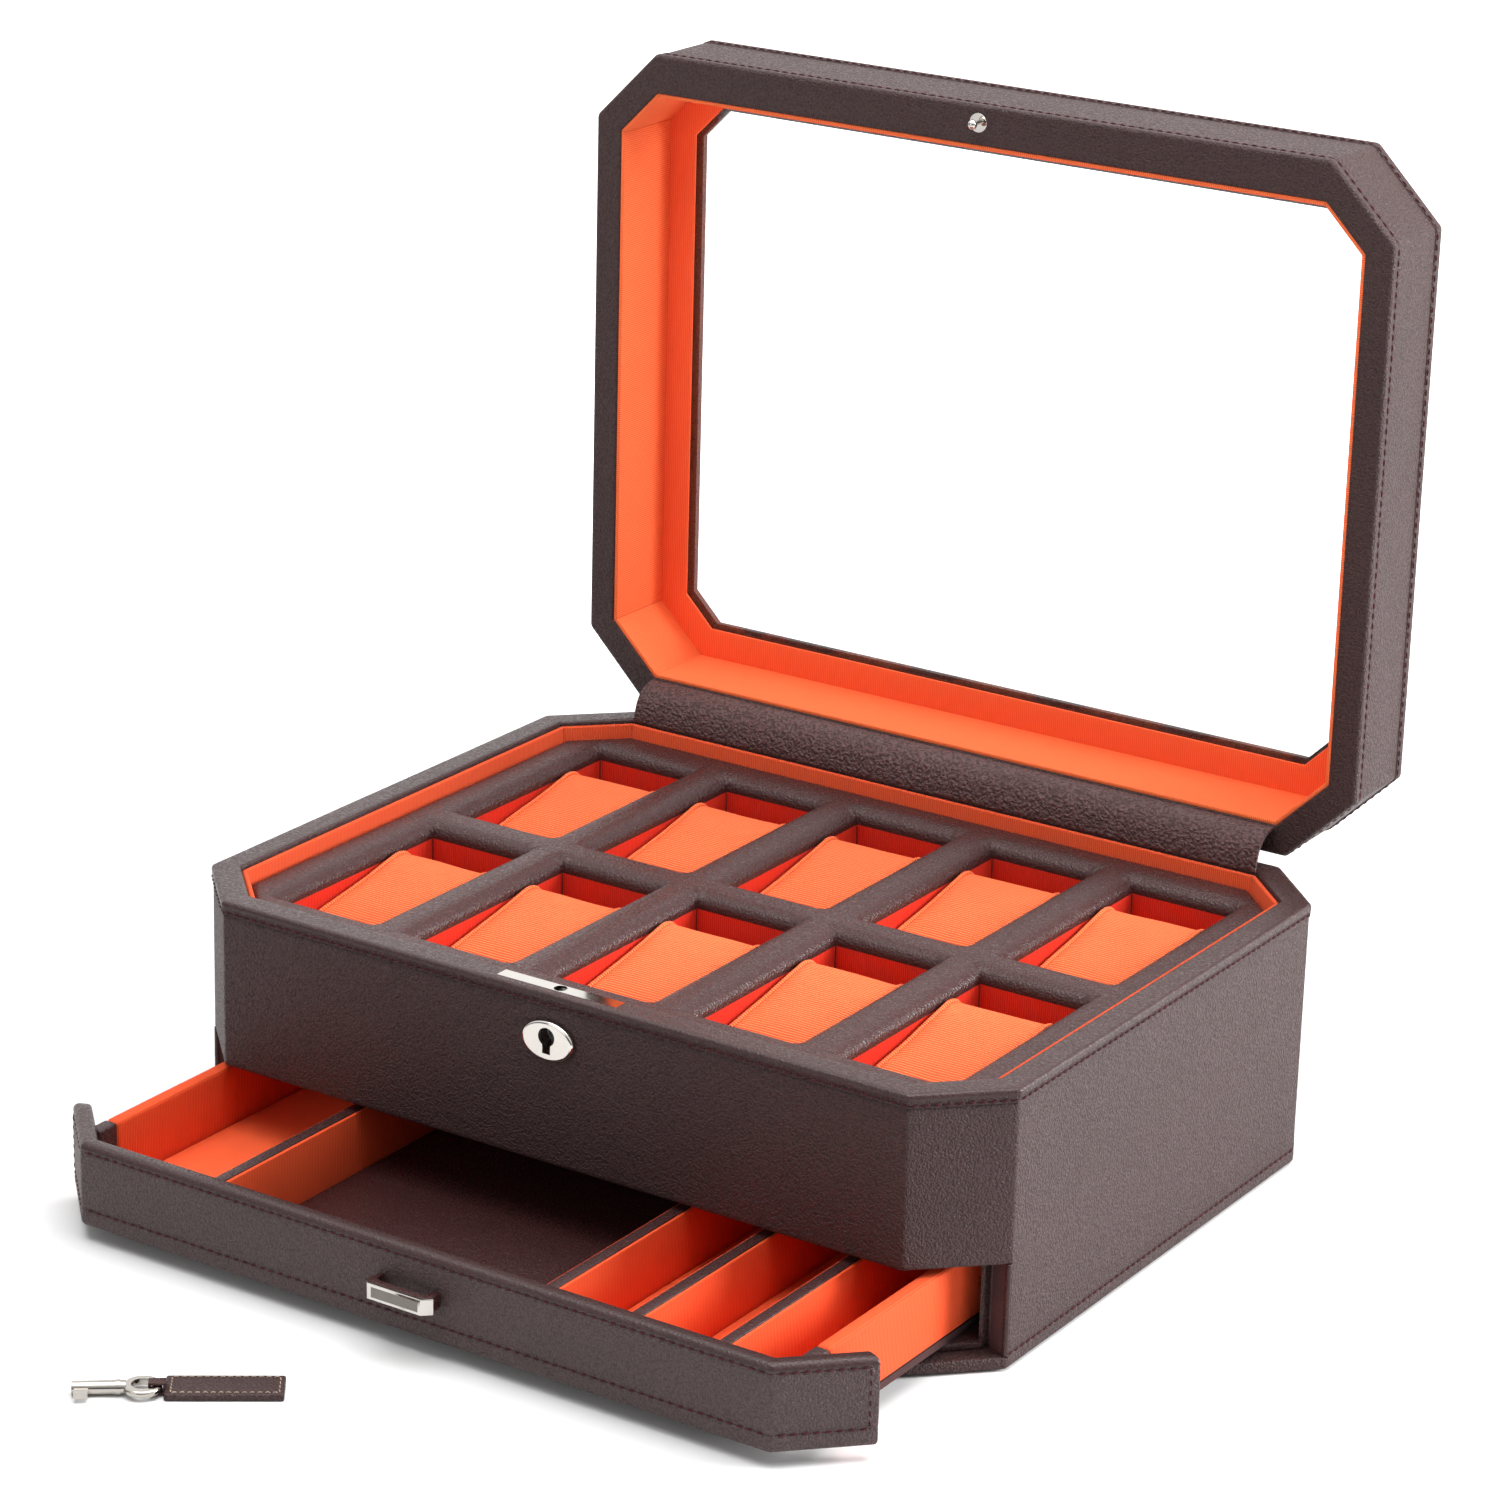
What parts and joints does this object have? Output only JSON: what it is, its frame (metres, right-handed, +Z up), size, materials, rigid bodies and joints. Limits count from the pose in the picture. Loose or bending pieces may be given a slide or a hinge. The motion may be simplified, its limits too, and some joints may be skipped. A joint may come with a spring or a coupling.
{
  "type": "watch box with drawer",
  "caption": "Eight-sided leather watch box with a hinged glazed lid, padded cells with cushions, a lock and a divided drawer.",
  "frame": {"origin": "middle of the case's footprint on the surface it stands on", "axes": "+X to the box's right as seen from the front, +Y to the back, +Z up"},
  "size_m": [0.33, 0.4621, 0.3549],
  "materials": {
    "brown_leather": "grained, matte",
    "orange_fabric": "fine ribbed weave",
    "orange_cushion_fabric": "fine ribbed weave, padded",
    "brown_lining": "suede",
    "base_felt": "felt",
    "bright_metal": "polished",
    "lock_steel": "satin",
    "clear_glass": "clear"
  },
  "bodies": {
    "case": {"base_felt": "base_felt", "base_board": "brown_leather", "bay_liner": "brown_lining", "front_panel": "brown_leather", "left_wall": "brown_leather", "right_wall": "brown_leather", "rear_wall": "brown_leather", "bay_jambs": "brown_lining", "drawer_guides": "brown_lining", "tray_deck": "orange_fabric", "inner_liner": "orange_fabric", "tray_end_rails": "orange_fabric", "tray_side_rails": "orange_fabric", "tray_cross_divider_1": "orange_fabric", "tray_cross_divider_2": "orange_fabric", "tray_cross_divider_3": "orange_fabric", "tray_cross_divider_4": "orange_fabric", "tray_long_divider": "orange_fabric", "tray_cap": "brown_leather", "lock_face_plate": "bright_metal", "lock_case": "lock_steel", "keyhole_escutcheon": "bright_metal", "hinge_case_leaves": "lock_steel", "hinge_pins": "lock_steel", "hinge_strip": "brown_leather"},
    "lid": {"lid_walls": "brown_leather", "lid_top_border": "brown_leather", "lid_liner": "orange_fabric", "lid_ledge": "orange_fabric", "glass_pane": "clear_glass", "catch_stud": "bright_metal", "hinge_lid_leaves": "lock_steel"},
    "drawer": {"drawer_front": "brown_leather", "drawer_left_side": "orange_fabric", "drawer_right_side": "orange_fabric", "drawer_rear": "orange_fabric", "drawer_bottom": "brown_lining", "drawer_divider_1": "orange_fabric", "drawer_divider_2": "orange_fabric", "drawer_divider_3": "orange_fabric", "drawer_divider_4": "orange_fabric", "divider_strips": "brown_leather", "drawer_side_pads": "orange_fabric", "drawer_centre_pad": "brown_leather", "pull_loop": "brown_leather", "pull_plate": "bright_metal"},
    "lock_bolt": {"lock_bolt": "lock_steel"},
    "lock_cam": {"lock_cam": "lock_steel"},
    "key": {"key_metal": "bright_metal", "key_fob": "brown_leather"},
    "cushion_front_1": {"cushion_front_1": "orange_cushion_fabric"},
    "cushion_front_2": {"cushion_front_2": "orange_cushion_fabric"},
    "cushion_front_3": {"cushion_front_3": "orange_cushion_fabric"},
    "cushion_front_4": {"cushion_front_4": "orange_cushion_fabric"},
    "cushion_front_5": {"cushion_front_5": "orange_cushion_fabric"},
    "cushion_rear_1": {"cushion_rear_1": "orange_cushion_fabric"},
    "cushion_rear_2": {"cushion_rear_2": "orange_cushion_fabric"},
    "cushion_rear_3": {"cushion_rear_3": "orange_cushion_fabric"},
    "cushion_rear_4": {"cushion_rear_4": "orange_cushion_fabric"},
    "cushion_rear_5": {"cushion_rear_5": "orange_cushion_fabric"}
  },
  "joints": [
    {"name": "lid_hinge", "type": "hinge", "parent": "case", "child": "lid", "pos_m": [0, 0.1289, 0.0995], "axis": [1, 0, 0], "range_deg": [0, 90], "deforming": ["hinge_strip"]},
    {"name": "drawer_slide", "type": "slide", "parent": "case", "child": "drawer", "axis": [0, 1, 0], "range_m": [-0.0742, 0.0758]},
    {"name": "lock_cam_turn", "type": "hinge", "parent": "case", "child": "lock_cam", "pos_m": [0, -0.1211, 0.0846], "axis": [0, -1, 0], "range_deg": [0, 90]},
    {"name": "lock_bolt_slide", "type": "slide", "parent": "case", "child": "lock_bolt", "axis": [-1, 0, 0], "range_m": [0, 0.0036]},
    {"name": "key_lift", "type": "slide", "parent": "case", "child": "key", "axis": [0, 0, -1], "range_m": [-0.06, 0]},
    {"name": "cushion_front_1_lift", "type": "slide", "parent": "case", "child": "cushion_front_1", "axis": [0, 0, -1], "range_m": [-0.06, 0]},
    {"name": "cushion_front_2_lift", "type": "slide", "parent": "case", "child": "cushion_front_2", "axis": [0, 0, -1], "range_m": [-0.06, 0]},
    {"name": "cushion_front_3_lift", "type": "slide", "parent": "case", "child": "cushion_front_3", "axis": [0, 0, -1], "range_m": [-0.06, 0]},
    {"name": "cushion_front_4_lift", "type": "slide", "parent": "case", "child": "cushion_front_4", "axis": [0, 0, -1], "range_m": [-0.06, 0]},
    {"name": "cushion_front_5_lift", "type": "slide", "parent": "case", "child": "cushion_front_5", "axis": [0, 0, -1], "range_m": [-0.06, 0]},
    {"name": "cushion_rear_1_lift", "type": "slide", "parent": "case", "child": "cushion_rear_1", "axis": [0, 0, -1], "range_m": [-0.06, 0]},
    {"name": "cushion_rear_2_lift", "type": "slide", "parent": "case", "child": "cushion_rear_2", "axis": [0, 0, -1], "range_m": [-0.06, 0]},
    {"name": "cushion_rear_3_lift", "type": "slide", "parent": "case", "child": "cushion_rear_3", "axis": [0, 0, -1], "range_m": [-0.06, 0]},
    {"name": "cushion_rear_4_lift", "type": "slide", "parent": "case", "child": "cushion_rear_4", "axis": [0, 0, -1], "range_m": [-0.06, 0]},
    {"name": "cushion_rear_5_lift", "type": "slide", "parent": "case", "child": "cushion_rear_5", "axis": [0, 0, -1], "range_m": [-0.06, 0]}
  ],
  "couplings": [
    {"joint": "lock_cam_turn", "follows": "lock_bolt_slide", "rad_per_m": 436.33}
  ]
}
